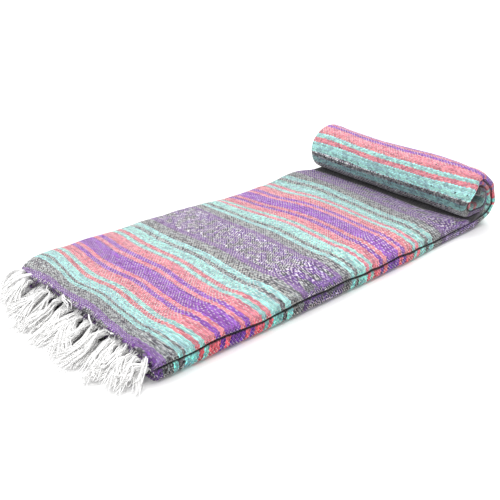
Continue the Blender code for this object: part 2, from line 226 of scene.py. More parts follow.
def stray(path, across):
    columns = [{"across": place, "shift": smoothValue(waveTable, "along", place, path)}
               for place in waveAcross]
    return smoothValue(columns, "across", "shift", across)


cloth = {
    "wall": 0.0017,
    "tuckedWall": 0.0013,
    "flatStep": 0.0062,      # length of a face along the flat stretch, and round the roll
    "rollStep": 0.0034,
    "insideSteps": 16,       # faces across a hidden face, the outer face and a hidden layer
    "outsideSteps": 54,
    "hiddenSteps": 9,
    "foldSteps": 16,         # round the near fold, the far one and the one between hidden layers
    "farFoldSteps": 6,
    "innerFoldSteps": 4,
    "bluntness": 5.0,        # of the near fold: 2 is round, more is squarer
    "roundness": 2.2,
    "shoulder": 0.045,       # how far in from the near fold the upper leaf's top starts to slope
    "frayReach": 0.0035,     # how unevenly the layers end at the fringe
    "stagger": 0.0026,       # and how far every other layer ends further in
    "pullReach": 0.018,      # how far into the cloth that is taken up
    "parting": 0.0068,       # where the leaves part, along the cut from the start of the near fold
    "partingReach": 0.045,   # how far in from the near side the parting line's waves reach
    "bumps": 0.0009,         # small unevenness of the top, of its far side and of the roll
    "farBumps": 0.0013,
    "rollBumps": 0.0011,
}


def rollFrame(run):
    # the line between the leaves at a distance past the curl's start, with the sizes there
    x, z, turned, start = strip["curlStart"], flatValue("parting", strip["curlStart"]), 0.0, 0.0
    sizes = {"lower": z, "slack": strip["gap"],
             "upper": flatValue("middle", strip["curlStart"]) - z - strip["gap"]}
    for arc in arcs:
        share = min(1.0, (run - start) / arc["length"])
        bend = math.radians(arc["turn"]) * share
        middle = math.radians(turned) + bend / 2
        chord = arc["length"] * share * (math.sin(bend / 2) / (bend / 2) if bend else 1.0)
        x += chord * math.cos(middle)
        z += chord * math.sin(middle)
        sizes = {name: sizes[name] + (arc[name] - sizes[name]) * share for name in sizes}
        if share < 1.0 or arc is arcs[-1]:
            return Vector((x, 0.0, z)), math.radians(turned) + bend, sizes
        start += arc["length"]
        turned += arc["turn"]


rollLength = sum(arc["length"] for arc in arcs)
outerLength = sum(arc["length"] for arc in arcs[:outerArcs])


def foldSection(near, far, thick, shoulder, shares=(0.36, 0.64)):
    # the cut folded in four: (across, share of the thickness in from the outer face)
    half, wall = thick / 2, cloth["wall"]
    roundness = cloth["roundness"] - 0.8 * smoothStep((shoulder - half) / 0.030)
    first, (second, third) = 0.10, shares
    rounding = second * thick / 2
    section = []
    # the hidden face against the other leaf, from its selvedge to the near fold
    steps = cloth["insideSteps"]
    for step in range(steps):
        across = far - 0.001 + (near + half - far + 0.001) * step / steps
        section.append((across, 1 - 0.10 * smoothStep(1 - step / steps * 14)))
    # the near fold: blunt towards the other leaf, round towards the outside
    for step in range(cloth["foldSteps"]):
        angle = math.pi * step / cloth["foldSteps"]
        inner = angle < math.pi / 2
        power = 2 / (cloth["bluntness"] if inner else roundness)
        reach = half if inner else shoulder
        rise = math.copysign(abs(math.cos(angle)) ** power, math.cos(angle))
        section.append((near + reach - reach * math.sin(angle) ** power, 0.5 + 0.5 * rise))
    # the outer face, which curves in at the far side
    steps = cloth["outsideSteps"]
    for step in range(steps):
        across = near + shoulder + (far - rounding - near - shoulder) * step / steps
        section.append((across, first * smoothStep(1 - (far - across) / 0.016)))
    # the far fold
    steps = cloth["farFoldSteps"]
    for angle in [math.pi * step / steps for step in range(steps)]:
        section.append((far - rounding + rounding * math.sin(angle),
                        (first + second) / 2 - (second - first) / 2 * math.cos(angle)))
    # a hidden layer back to the near side, the fold in there, and the last layer out again
    turn = (third - second) / 2
    inset = near + wall * 1.6 + turn * thick + (shoulder - half) * 0.22
    steps = cloth["hiddenSteps"]
    for step in range(steps):
        section.append((far - rounding + (inset - far + rounding) * step / steps, second))
    innerSteps = cloth["innerFoldSteps"]
    for angle in [math.pi * step / innerSteps for step in range(innerSteps)]:
        section.append((inset - turn * thick * math.sin(angle),
                        (second + third) / 2 - turn * math.cos(angle)))
    for step in range(steps + 1):
        section.append((inset + (far - 0.003 - inset) * step / steps, third))
    return section


def cutPlaces():
    # how far each point of the section lies along the cut, selvedge to selvedge
    thick = 0.020
    section = foldSection(0.0, stripWidth, thick, thick)
    places = [0.0]
    for (acrossA, shareA), (acrossB, shareB) in zip(section, section[1:]):
        places.append(places[-1] + math.hypot(acrossB - acrossA, (shareB - shareA) * thick))
    return [place * strip["cutWidth"] / places[-1] for place in places]


cuts = cutPlaces()
partingCut = cuts[cloth["insideSteps"]]    # where the near fold starts, on the face to the other leaf

# soft ridges and troughs of the top: place, heading in degrees, half length, half width, height
creaseColumns = ("along", "across", "heading", "reach", "width", "height")
creaseRows = (
    (0.030, 0.250, 70, 0.060, 0.012, 0.0014),
    (0.055, 0.275, 110, 0.040, 0.010, -0.0012),
    (0.020, 0.090, 95, 0.070, 0.008, 0.0009),
    (0.120, 0.200, 100, 0.070, 0.016, 0.0010),
    (0.160, 0.150, 84, 0.090, 0.014, -0.0010),
    (0.235, 0.060, 97, 0.060, 0.018, 0.0009),
    (0.275, 0.270, 112, 0.050, 0.012, 0.0018),
    (0.318, 0.170, 88, 0.080, 0.013, -0.0012),
    (0.345, 0.270, 78, 0.050, 0.013, -0.0014),
    (0.372, 0.110, 96, 0.070, 0.015, 0.0011),
    (0.425, 0.235, 104, 0.060, 0.013, 0.0013),
    (0.455, 0.080, 90, 0.060, 0.012, -0.0009),
    (0.500, 0.180, 92, 0.100, 0.010, 0.0008),
)
creases = [dict(zip(creaseColumns, row)) for row in creaseRows]


def creaseHeight(along, across):
    height = 0.0
    for crease in creases:
        turn = math.radians(crease["heading"])
        ahead, aside = along - crease["along"], across - crease["across"]
        length = (ahead * math.cos(turn) + aside * math.sin(turn)) / crease["reach"]
        width = (aside * math.cos(turn) - ahead * math.sin(turn)) / crease["width"]
        if abs(length) < 3 and abs(width) < 3:
            height += crease["height"] * math.exp(-length * length - width * width)
    return height + cloth["bumps"] * noise.noise(Vector((along / 0.045, across / 0.060, 0.0)))


# how much higher or lower the line between the leaves runs at the near side
partingRows = (
    (0.000, -0.0020), (0.050, -0.0028), (0.060, -0.0023), (0.078, 0.0000), (0.100, 0.0000),
    (0.120, -0.0013), (0.140, -0.0022), (0.160, -0.0032), (0.176, -0.0014), (0.200, -0.0007),
    (0.215, 0.0005), (0.250, 0.0008), (0.270, -0.0008), (0.290, 0.0005), (0.310, 0.0010),
    (0.330, -0.0013), (0.345, -0.0024), (0.358, -0.0012), (0.372, -0.0028), (0.390, -0.0013),
    (0.415, -0.0002), (0.440, -0.0034), (0.460, -0.0024), (0.482, -0.0042), (0.505, -0.0056),
    (0.522, -0.0042), (0.550, -0.0030), (0.598, 0.0000),
)


def flatPoint(leaf, along, across, share):
    # share: how far in from the outer face towards the other leaf
    parting = flatValue("parting", along)
    parting += linearValue(partingRows, along) * bell(across, cloth["partingReach"])
    if leaf == "lowerLeaf":
        outer, inner = 0.0, parting - strip["gap"] / 2
    else:
        outer, inner = topHeight(along, across), parting + strip["gap"] / 2
        fade = smoothStep(along / 0.02) * smoothStep((strip["curlStart"] - along) / 0.05) * (1 - share)
        rough = cloth["farBumps"] * noise.noise(Vector((along / 0.017, across / 0.050, 6.4)))
        outer += (creaseHeight(along, across) + rough * smoothStep((across - 0.27) / 0.04)) * fade
    return Vector((along, across, outer + (inner - outer) * share))


def rollPoint(leaf, run, across, share):
    centre, angle, sizes = rollFrame(run)
    inward = Vector((-math.sin(angle), 0.0, math.cos(angle)))
    gap = strip["gap"] / 2
    if leaf == "lowerLeaf":
        outer, inner = -sizes["lower"], -gap
        swell = cloth["rollBumps"] * noise.noise(Vector((run / 0.030, across / 0.055, 4.0)))
        outer += swell * (1 - share) * smoothStep(run / 0.05)
    else:
        outer, inner = sizes["slack"] - gap + sizes["upper"], sizes["slack"] - gap
    point = centre + inward * (outer + (inner - outer) * share)
    return slump(Vector((point.x, across, point.z)))


def wander(seed, place, size):
    # a slow wobble to both sides
    return noise.noise(Vector((place / size, seed, 0.37)))


edgeSeeds = {"lowerLeaf": (3.1, 5.7), "upperLeaf": (8.3, 1.9)}


def edgesAt(leaf, place):
    # near and far fold of a leaf at a distance along the line between the leaves
    near, far = flatValue("nearEdge", place), flatValue("farEdge", place)
    run = place - strip["curlStart"]
    if run > 0:
        rollNear, rollFar = rollEdges[leaf]
        part = smoothStep(run / 0.025)
        near, far = near + (rollNear - near) * part, far + (rollFar - far) * part
    nearSeed, farSeed = edgeSeeds[leaf]
    start = smoothStep(place / 0.04)
    return (near + 0.0010 * wander(nearSeed, place, 0.050) * start,
            far + 0.0012 * wander(farSeed, place, 0.028) * start)


def pieceFrom(work, name):
    # the finished mesh as an object of the scene
    mesh = bpy.data.meshes.new(name)
    work.to_mesh(mesh)
    work.free()
    piece = bpy.data.objects.new(name, mesh)
    bpy.context.scene.collection.objects.link(piece)
    return piece


def clothSheet(name, rowPoints, rowPaths, chart, wall, flip):
    # a folded sheet from a grid: rows along the cloth, columns along its cut
    work = bmesh.new()
    rows, columns = len(rowPoints), len(cuts)
    bmesh.ops.create_grid(work, x_segments=rows - 1, y_segments=columns - 1, size=0.5)
    stripes = work.loops.layers.uv.new("stripes")
    shift = Vector((-strip["middleAlong"], -strip["middleAcross"], 0.0))
    spots = {}
    for corner in work.verts:
        row = round((corner.co.x + 0.5) * (rows - 1))
        column = round((corner.co.y + 0.5) * (columns - 1))
        spots[corner] = (row, column)
        corner.co = rowPoints[row][column] + shift
    for face in work.faces:
        face.smooth = True
        for loop in face.loops:
            row, column = spots[loop.vert]
            loop[stripes].uv = (linearValue(chart, rowPaths[row][column]), cuts[column])
    if flip:
        bmesh.ops.reverse_faces(work, faces=work.faces[:])
    piece = pieceFrom(work, name)
    thickness = piece.modifiers.new("wall", "SOLIDIFY")
    thickness.thickness = wall
    thickness.offset = -1.0
    thickness.use_even_offset = False
    return piece


def lipShift(leaf, across, share):
    # how far a layer's cloth end lies from the leaf's own end: uneven, and staggered layer by layer
    seed = 2.3 if leaf == "upperLeaf" else 5.9
    fray = cloth["frayReach"] * noise.noise(Vector((across / 0.030, share * 7, seed)))
    return cloth["stagger"] * (round(share * 3) % 2) - fray


def lipPoint(leaf, along, across, share):
    # a point of the flat stretch, with the layers' uneven ends
    pull = max(0.0, 1 - (along - leafEnds[leaf]) / cloth["pullReach"])
    along += lipShift(leaf, across, share) * pull
    point = flatPoint(leaf, max(along, 0.0), across, share)
    point.x = along
    return point


def leafStations(leaf):
    # where the rows of faces lie along the line between the leaves, closer by its cloth end
    start = strip["curlStart"]
    stations = [leafEnds[leaf] + step * 0.0025 for step in range(8)]
    for end, step in ((start, cloth["flatStep"]), (start + outerLength, cloth["rollStep"])):
        last = stations[-1]
        count = round((end - last) / step)
        stations += [last + (end - last) * (number + 1) / count for number in range(count)]
    return stations


def leafThickness(leaf, place):
    run = place - strip["curlStart"]
    if run > 0:
        return rollFrame(run)[2]["lower" if leaf == "lowerLeaf" else "upper"]
    parting = flatValue("parting", place)
    return parting if leaf == "lowerLeaf" else flatValue("middle", place) - parting


def leafRows(leaf):
    # the points of a leaf from its cloth end to where the roll tucks in, and their paths
    start = strip["curlStart"]
    points, paths = [], []
    travelled, last = leafEnds[leaf], None
    for place in leafStations(leaf):
        near, far = edgesAt(leaf, place)
        run = place - start
        thick = leafThickness(leaf, place)
        shoulder = thick / 2
        if leaf == "upperLeaf":
            shoulder += (cloth["shoulder"] - shoulder) * smoothStep((start - place) / 0.08)
        section = foldSection(near, far, thick, shoulder)
        if run > 0:
            row = [rollPoint(leaf, run, across, share) for across, share in section]
            middle = rollPoint(leaf, run, stripWidth / 2, 0.0)
        else:
            row = [lipPoint(leaf, place, across, share) for across, share in section]
            middle = flatPoint(leaf, place, stripWidth / 2, 0.0)
        if leaf == "upperLeaf" and run > 0:
            travelled = start + 0.003 + run
        elif last is not None:
            travelled += (middle - last).length
        last = middle
        points.append(row)
        slide = linearValue(slideTables[leaf], min(travelled, 0.639))
        paths.append([travelled - stray(travelled, point.y)
                      - slide * smoothStep(1 - abs(cut - partingCut) / slideReach)
                      for point, cut in zip(row, cuts)])
    return points, paths


def makeLeaf(leaf, nodes, chart):
    points, paths = leafRows(leaf)
    piece = clothSheet(leaf, points, paths, chart, cloth["wall"], leaf == "lowerLeaf")
    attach(piece, "root")
    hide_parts(*nodes)
    return piece, paths[-1][0]


def makeTuck(startPath):
    # both leaves go on inside the roll and meet at the crosswise fold: one sheet, out and back
    near, far = rollEdges["tuckedEnd"]
    gap = strip["gap"] / 2
    reach = rollLength - outerLength
    count = round(reach / cloth["rollStep"])
    stations = [("lowerLeaf", outerLength + reach * step / count, 0.0) for step in range(count + 1)]
    stations += [("turn", rollLength, math.pi * step / 8) for step in range(1, 8)]
    stations += [("upperLeaf", rollLength - reach * step / count, 0.0) for step in range(count + 1)]
    points, paths = [], []
    travelled, last = startPath, None
    for leaf, run, turn in stations:
        centre, angle, sizes = rollFrame(run)
        thick = sizes["upper"] if leaf == "upperLeaf" else sizes["lower"]
        section = foldSection(near, far, thick, thick / 2, (0.42, 0.58))
        if leaf == "turn":
            half = sizes["lower"] + (sizes["upper"] - sizes["lower"]) * turn / math.pi
            # the way out from the fold's own middle, a half turn from one leaf's face to the other's
            out = Vector((math.sin(angle + turn), 0.0, -math.cos(angle + turn)))
            row = []
            for across, share in section:
                spot = centre + out * (half + (gap - half) * share)
                row.append(slump(Vector((spot.x, across, spot.z))))
        else:
            row = [rollPoint(leaf, run, across, share) for across, share in section]
        middle = row[cloth["insideSteps"] + cloth["foldSteps"] + cloth["outsideSteps"] // 2]
        if last is not None:
            travelled += (middle - last).length
        last = middle
        points.append(row)
        paths.append([travelled] * len(row))
    piece = clothSheet("tuckedEnd", points, paths, lowerChart, cloth["tuckedWall"], True)
    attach(piece, "root")
    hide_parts("tucked_end")
    return piece


# each row of tassels. shares: which two layers it hangs from, as shares of the leaf's thickness
# in from the outer face. often: how often the first of them. rail: its height at distances out
# from the cloth. stems: where its tassels lie
fringeRows = {
    "fringeUpperTop": {
        "node": "fringe_upper_top", "leaf": "upperLeaf", "shares": (0.64, 0.36), "often": 0.8, "yarns": 23,
        "rail": ((0.000, 0.0214), (0.007, 0.0190), (0.016, 0.0168), (0.027, 0.0150), (0.040, 0.0115),
                 (0.052, 0.0075), (0.062, 0.0030)),
    },
    "fringeUpperUnder": {
        "node": "fringe_upper_under", "leaf": "upperLeaf", "shares": (0.64, 0.92), "often": 0.6, "yarns": 20,
        "rail": ((0.000, 0.0215), (0.007, 0.0180), (0.014, 0.0140), (0.025, 0.0104), (0.036, 0.0080),
                 (0.047, 0.0055), (0.055, 0.0030)),
        "stems": (0.029, 0.052, 0.079, 0.102, 0.129, 0.147, 0.174, 0.200, 0.219, 0.243, 0.270),
    },
    "fringeLowerTop": {
        "node": "fringe_lower_top", "leaf": "lowerLeaf", "shares": (0.94, 0.64), "often": 0.6, "yarns": 20,
        "rail": ((0.000, 0.0140), (0.004, 0.0118), (0.012, 0.0084), (0.023, 0.0060), (0.033, 0.0048),
                 (0.043, 0.0035), (0.051, 0.0022)),
        "stems": (0.016, 0.041, 0.064, 0.090, 0.113, 0.137, 0.160, 0.185, 0.211, 0.234, 0.259, 0.284),
    },
    "fringeLowerUnder": {
        "node": "fringe_lower_under", "leaf": "lowerLeaf", "shares": (0.36, 0.08), "often": 0.6, "yarns": 18,
        "rail": ((0.000, 0.0060), (0.004, 0.0042), (0.012, 0.0028), (0.022, 0.0020), (0.032, 0.0016),
                 (0.042, 0.0013), (0.048, 0.0012)),
        "stems": (0.029, 0.052, 0.076, 0.100, 0.125, 0.150, 0.173, 0.198, 0.222, 0.246, 0.271),
    },
}
# the top row's tassels, near to far: where, how thick, how far the tips swing, how long
topTassels = (
    (0.0170, 0.7, 0.004, 0.030), (0.0388, 0.9, -0.012, 0.044), (0.0590, 0.7, -0.004, 0.050),
    (0.0700, 0.9, -0.024, 0.054), (0.0960, 1.6, 0.004, 0.062), (0.1179, 0.9, -0.030, 0.052),
    (0.1330, 0.6, -0.004, 0.050), (0.1480, 1.1, -0.032, 0.058), (0.1570, 0.9, 0.000, 0.060),
    (0.1830, 1.0, -0.030, 0.062), (0.1982, 1.2, -0.004, 0.060), (0.2330, 0.9, -0.026, 0.060),
    (0.2420, 0.8, -0.002, 0.049), (0.2740, 1.3, -0.022, 0.045), (0.2900, 0.8, -0.002, 0.036),
)
# threads that stray from the tassels: how many, then places (out from the cloth, across, height)
strayThreads = (
    (7, ((0.000, 0.2890, 0.0255), (0.005, 0.2985, 0.0265), (0.018, 0.3020, 0.0200),
         (0.031, 0.2970, 0.0100), (0.040, 0.2860, 0.0030))),
    (5, ((0.000, 0.2700, 0.0285), (0.009, 0.2760, 0.0270), (0.019, 0.2860, 0.0180),
         (0.026, 0.2930, 0.0080), (0.030, 0.2990, 0.0020))),
    (2, ((0.000, 0.0480, 0.0310), (0.004, 0.0465, 0.0265), (0.006, 0.0500, 0.0205),
         (0.010, 0.0570, 0.0170), (0.016, 0.0580, 0.0150))),
    (2, ((0.000, 0.0760, 0.0318), (0.0035, 0.0820, 0.0305), (0.0030, 0.0890, 0.0312),
         (0.0045, 0.0960, 0.0290), (0.007, 0.1010, 0.0250))),
    (3, ((0.000, 0.1900, 0.0325), (0.0030, 0.1840, 0.0318), (0.0040, 0.1760, 0.0322),
         (0.0040, 0.1690, 0.0300), (0.008, 0.1640, 0.0262))),
    (2, ((0.000, 0.2240, 0.0325), (0.0040, 0.2180, 0.0312), (0.0030, 0.2110, 0.0318),
         (0.0055, 0.2050, 0.0285), (0.010, 0.2040, 0.0240))),
    (2, ((0.000, 0.1280, 0.0320), (0.0035, 0.1210, 0.0312), (0.0050, 0.1150, 0.0300),
         (0.0060, 0.1110, 0.0265), (0.009, 0.1120, 0.0225))),
    (3, ((0.000, 0.0120, 0.0300), (0.006, 0.0060, 0.0270), (0.013, 0.0030, 0.0170),
         (0.016, 0.0060, 0.0060), (0.019, 0.0110, 0.0016))),
)
fringe = {
    "yarnSize": 0.00104,     # half the thickness of a yarn at its root
    "tipShare": 0.5,         # and how much of that it loses by its tip
    "stemSize": 0.0029,      # half the width of a tassel's neck
    "gather": 0.0080,        # how far along the cloth's end a tassel draws its yarns from
    "fan": 0.0122,           # half the width of a tassel at its tips
    "lean": 0.006,           # how far a tassel leans to a side, and bends
    "bend": 0.005,
    "wave": 0.0012,          # small waves along it
    "arch": 0.0045,          # how much higher a thick one stands near the cloth
    "bow": 0.0035,           # how far a single yarn bows
    "stray": 0.0016,         # and wanders off its way by its tip
    "hairs": 8,              # loose fibres to a tassel
    "hairSize": 0.00022,
    "steps": 12,             # faces along a strand, and round it
    "sides": 5,
}


def curvePoint(points, part):
    # a smooth curve through points, at a share of its way
    place = part * (len(points) - 1)
    index = min(int(place), len(points) - 2)
    first, second = points[index], points[index + 1]
    before, after = points[max(index - 1, 0)], points[min(index + 2, len(points) - 1)]
    return curveBetween(first, (second - before) / 2, second, (after - first) / 2, place - index)


def strandTemplate():
    # a straight tube along Z from 0 to 1, to be laid along a yarn's path
    mesh = bpy.data.meshes.new("strand")
    work = bmesh.new()
    work.loops.layers.uv.new("strand")
    bmesh.ops.create_cone(work, cap_ends=True, segments=fringe["sides"], radius1=1.0, radius2=1.0, depth=1.0,
                          matrix=Matrix.Translation((0.0, 0.0, 0.5)), calc_uvs=True)
    for step in range(1, fringe["steps"]):
        bmesh.ops.bisect_plane(work, geom=work.verts[:] + work.edges[:] + work.faces[:],
                               plane_co=(0.0, 0.0, step / fringe["steps"]), plane_no=(0.0, 0.0, 1.0))
    work.to_mesh(mesh)
    work.free()
    return mesh


def layStrand(work, template, points, thickness):
    # a copy of the template bent along the points, thinner towards its tip
    work.from_mesh(template)
    work.verts.ensure_lookup_table()
    side = Vector((0.0, 1.0, 0.0))
    for corner in work.verts[-len(template.vertices):]:
        part = corner.co.z
        ahead = curvePoint(points, min(1.0, part + 0.02)) - curvePoint(points, max(0.0, part - 0.02))
        ahead.normalize()
        wide = (side - ahead * side.dot(ahead)).normalized()
        tall = ahead.cross(wide)
        size = thickness * (1 - fringe["tipShare"] * part ** 3)
        corner.co = curvePoint(points, part) + wide * (corner.co.y * size) - tall * (corner.co.x * size)


def tasselsOf(row, chance):
    # where, how thick, how far the tips swing to the near side, how long
    if "stems" not in row:
        return topTassels
    found = []
    for stem in row["stems"]:
        side = 2 * stem / stripWidth - 1
        reach = row["rail"][-1][0] * (1 - (0.80 if side > 0 else 0.60) * side ** 4)
        thick, swing = chance.uniform(0.8, 1.2), chance.uniform(-0.024, 0.008)
        found.append((stem, thick, swing, reach * chance.uniform(0.9, 1.0)))
    return found


def tasselHabit(tassel, chance):
    # how one tassel lies, from where, how thick, how far it swings and how long
    stem, thick, swing, reach = tassel
    return {
        "stem": stem, "thick": thick, "swing": swing, "reach": reach,
        "lift": chance.uniform(-0.0010, 0.0012) + (thick - 1) * 0.003,
        "lean": chance.uniform(-1, 1) * fringe["lean"],
        "fan": fringe["fan"] * math.sqrt(thick) * chance.uniform(0.50, 1.50),
        "bend": chance.uniform(-1, 1) * fringe["bend"],
        "wave": chance.uniform(5, 9),
        "phase": chance.uniform(0, 6.3),
        "neck": fringe["stemSize"] * math.sqrt(thick),
    }


goldenTurn = math.pi * (3 - math.sqrt(5))    # spreads the yarns of a tassel evenly over its section


def yarnPoints(row, habit, number, yarns, chance):
    # the way of one yarn or loose fibre: out of the cloth, through the neck and on to the fan
    leaf = row["leaf"]
    isHair = number >= yarns
    turn = number * goldenTurn + chance.uniform(-0.3, 0.3)
    ring = math.sqrt((number % yarns + 0.5) / yarns) * (1.5 if isHair else 1.0)
    aside, above = ring * math.cos(turn), ring * math.sin(turn)
    share = row["shares"][0 if chance.random() < row["often"] else 1]
    drawn = aside * fringe["gather"] * chance.uniform(0.6, 1.15)
    across = min(max(habit["stem"] + drawn, 0.006), 0.298)
    start = flatPoint(leaf, 0.001, across, share)
    start.x = leafEnds[leaf] + lipShift(leaf, across, share) + 0.0015
    edge = min(start.x, leafEnds[leaf])
    length = habit["reach"] * chance.uniform(0.72, 1.10)
    bow = chance.uniform(-1, 1) * fringe["bow"]
    points = [start]
    for part in (0.05, 0.15, 0.27, 0.43, 0.61, 0.80, 1.0):
        out = part * length
        spread = max(0.0, part - 0.15) / 0.85
        wide = habit["neck"] * (1 - spread) + habit["fan"] * spread ** 1.15
        sway = habit["swing"] * part ** 1.5 + bow * math.sin(spread * 3.0)
        sway += habit["lean"] * spread * (1 - spread) * 2 + habit["bend"] * math.sin(spread * 4.5)
        sway += fringe["wave"] * math.sin(spread * habit["wave"] + habit["phase"]) * min(1.0, spread * 5)
        if part < 0.1:
            wide, sway = 0.0, drawn * 0.55
        sway += chance.uniform(-1, 1) * fringe["stray"] * spread * (2.5 if isHair else 1.0)
        arch = 0.0
        if part < 0.45:
            arch = max(0.0, habit["thick"] - 0.7) * fringe["arch"] * math.sin(part / 0.45 * math.pi)
        height = linearValue(row["rail"], min(out, row["rail"][-1][0])) + arch + habit["lift"] * (1 - part)
        height += above * (0.0026 * (1 - spread) * min(1.0, part / 0.2) + 0.0016)
        height += chance.uniform(-0.0006, 0.0006)
        points.append(Vector((edge - out, habit["stem"] + aside * wide + sway, max(height, 0.0010))))
    return points


def layStrays(work, template, chance):
    for count, places in strayThreads:
        for number in range(count):
            drift = Vector((chance.uniform(-1, 1), chance.uniform(-1, 1), chance.uniform(-0.5, 1)))
            drift *= fringe["stray"]
            points = [Vector((0.001 - out, across, height)) + drift * (1 + index * 0.5)
                      for index, (out, across, height) in enumerate(places)]
            layStrand(work, template, points, fringe["yarnSize"] * chance.uniform(0.7, 1.0))


def makeFringe(name, row, template):
    chance = random.Random(name)
    work = bmesh.new()
    work.loops.layers.uv.new("strand")
    for tassel in tasselsOf(row, chance):
        habit = tasselHabit(tassel, chance)
        yarns = round(row["yarns"] * habit["thick"])
        for number in range(yarns + fringe["hairs"]):
            points = yarnPoints(row, habit, number, yarns, chance)
            isHair = number >= yarns
            thickness = fringe["hairSize"] if isHair else fringe["yarnSize"] * chance.uniform(0.75, 1.15)
            layStrand(work, template, points, thickness)
    if "stems" not in row:
        layStrays(work, template, chance)
    bmesh.ops.translate(work, verts=work.verts[:],
                        vec=(-strip["middleAlong"], -strip["middleAcross"], 0.0))
    bmesh.ops.recalc_face_normals(work, faces=work.faces[:])
    for face in work.faces:
        face.smooth = len(face.verts) == 4
    piece = pieceFrom(work, name)
    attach(piece, "root")
    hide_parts(row["node"])
    return piece


def colour(red, green, blue):
    # a screen colour of 0 to 255 as the light it stands for
    parts = [value / 255 for value in (red, green, blue)]
    return (*[part / 12.92 if part <= 0.04045 else ((part + 0.055) / 1.055) ** 2.4 for part in parts], 1.0)


yarn = {
    "teal": colour(164, 209, 207), "coral": colour(216, 138, 150), "purple": colour(152, 92, 184),
    "grey": colour(132, 135, 139), "lilac": colour(130, 86, 166), "mauve": colour(140, 112, 162),
    # pitShade: the painted shade in the pits between the floats
    "warp": colour(238, 234, 230), "nep": colour(30, 26, 34), "pitShade": colour(72, 64, 78),
    "heatherDark": colour(110, 112, 115), "heatherPale": colour(160, 161, 164),
    "fibreDark": colour(62, 64, 70), "fibrePale": colour(205, 205, 206),
    "ashDark": colour(84, 84, 92), "ashPale": colour(124, 124, 130),
    "marlDark": colour(66, 58, 78), "marlPale": colour(240, 236, 243),
}
# half of the stripe repeat, out from the middle of a purple band: where each stripe ends
stripeChart = (
    (0.0120, "purple"), (0.0180, "coral"), (0.0245, "purple"), (0.0420, "coral"), (0.0490, "teal"),
    (0.0560, "coral"), (0.0720, "teal"), (0.0780, "grey"), (0.0860, "teal"), (0.1050, "grey"),
    (0.1150, "mauve"), (0.1495, "lilac"),
)
halfRepeat = stripeChart[-1][0]


class Nodes:
    # a short way to add nodes to a tree and join them
    def __init__(self, tree):
        self.tree = tree

    def add(self, kind, inputs=None, **settings):
        node = self.tree.nodes.new(kind)
        for key, value in settings.items():
            setattr(node, key, value)
        for key, value in (inputs or {}).items():
            self.join(value, node.inputs[key])
        return node

    def join(self, value, socket):
        if isinstance(value, bpy.types.NodeSocket):
            self.tree.links.new(value, socket)
        else:
            socket.default_value = value

    def math(self, operation, *values):
        return self.add("ShaderNodeMath", dict(enumerate(values)), operation=operation).outputs[0]

    def times(self, first, *others):
        for other in others:
            first = self.math("MULTIPLY", first, other)
        return first

    def timesPlus(self, first, factor, more):
        return self.math("MULTIPLY_ADD", first, factor, more)

    def blend(self, share, first, second, kind="MIX"):
        node = self.add("ShaderNodeMix", data_type="RGBA", blend_type=kind)
        for value, key in ((share, 0), (first, 6), (second, 7)):
            self.join(value, node.inputs[key])
        return node.outputs[2]

    def remap(self, value, low, high, outLow=0.0, outHigh=1.0):
        return self.add("ShaderNodeMapRange", {0: value, 1: low, 2: high, 3: outLow, 4: outHigh}).outputs[0]

    def grain(self, place, scale, detail):
        return self.add("ShaderNodeTexNoise", {"Vector": place, "Scale": scale, "Detail": detail}).outputs[0]

    def axis(self, vector, index):
        return self.add("ShaderNodeSeparateXYZ", {0: vector}).outputs[index]


def newMaterial(name, surface):
    material = bpy.data.materials.new(name)
    material.use_nodes = True
    shader = material.node_tree.nodes["Principled BSDF"]
    for key, value in surface.items():
        shader.inputs[key].default_value = value
    return material, Nodes(material.node_tree), shader


def newGroup(name, inputs, outputs):
    group = bpy.data.node_groups.new(name, "ShaderNodeTree")
    for label, kind in inputs:
        group.interface.new_socket(name=label, in_out="INPUT", socket_type=kind)
    for label, kind in outputs:
        group.interface.new_socket(name=label, in_out="OUTPUT", socket_type=kind)
    nodes = Nodes(group)
    return group, nodes, nodes.add("NodeGroupInput").outputs, nodes.add("NodeGroupOutput").inputs


